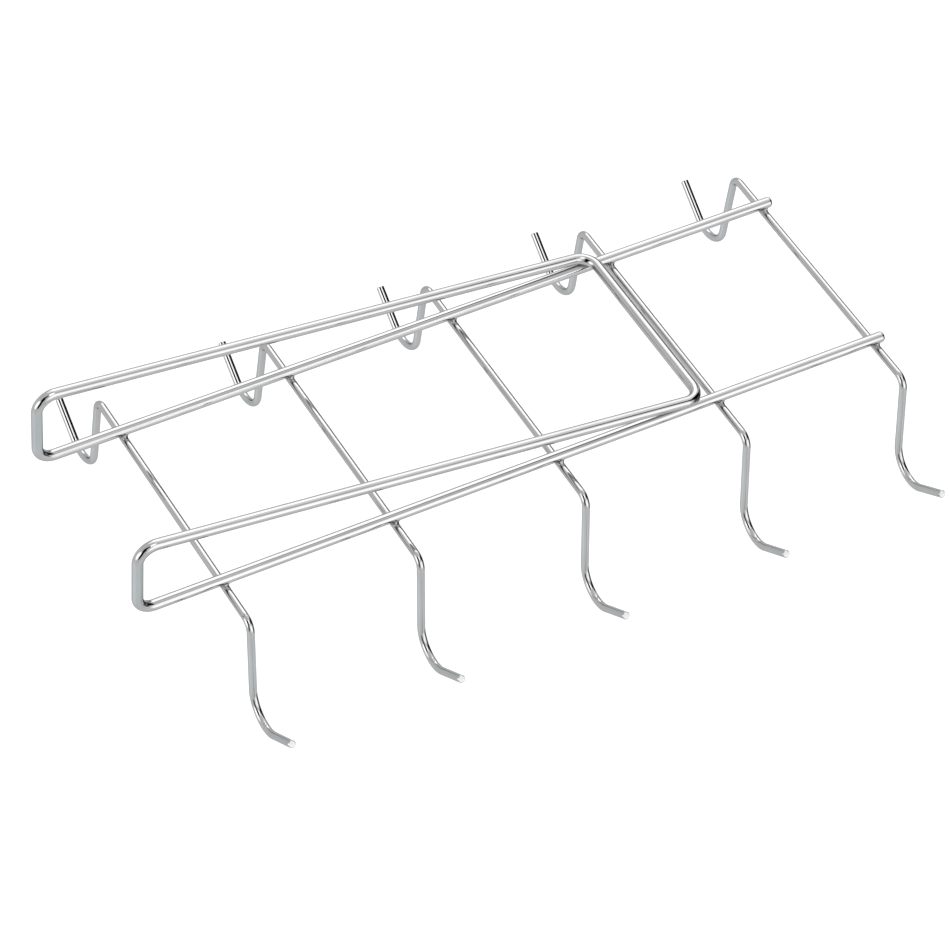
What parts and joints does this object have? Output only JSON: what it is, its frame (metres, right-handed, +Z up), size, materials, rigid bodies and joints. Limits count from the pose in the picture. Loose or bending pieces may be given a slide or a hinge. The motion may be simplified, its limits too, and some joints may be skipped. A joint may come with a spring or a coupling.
{
  "type": "shelf hook rack",
  "caption": "Slide-on shelf rack of bent round wire: a springing loop clamps it to a shelf board, and wires welded across its rails end in J-shaped hooks.",
  "frame": {"origin": "centre of the rack in plan, on the surface its hooks stand on", "axes": "+X along the rails from the closed end to the open end, +Y across the rails towards the rear hooks, +Z up towards the shelf"},
  "size_m": [0.3664, 0.2228, 0.0931],
  "materials": {
    "frame_wire": "bright chrome plate on 5 mm steel wire",
    "hook_wire": "bright chrome plate on 3.5 mm steel wire",
    "weld": "plated weld bead, a little duller than the wire"
  },
  "bodies": {
    "rack": {"rail_front": "frame_wire", "rail_rear": "frame_wire", "hook_wire_1": "hook_wire", "hook_wire_2": "hook_wire", "hook_wire_3": "hook_wire", "hook_wire_4": "hook_wire", "hook_wire_5": "hook_wire", "weld_front_1": "weld", "weld_front_2": "weld", "weld_front_3": "weld", "weld_front_4": "weld", "weld_front_5": "weld", "weld_rear_1": "weld", "weld_rear_2": "weld", "weld_rear_3": "weld", "weld_rear_4": "weld", "weld_rear_5": "weld"},
    "clamp": {"clamp_loop": "frame_wire"}
  },
  "joints": [
    {"name": "clamp_flex", "type": "hinge", "parent": "rack", "child": "clamp", "pos_m": [-0.18075, 0, 0.07289], "axis": [0, -1, 0], "range_deg": [0, 5], "stiffness_Nm_per_rad": 60}
  ]
}
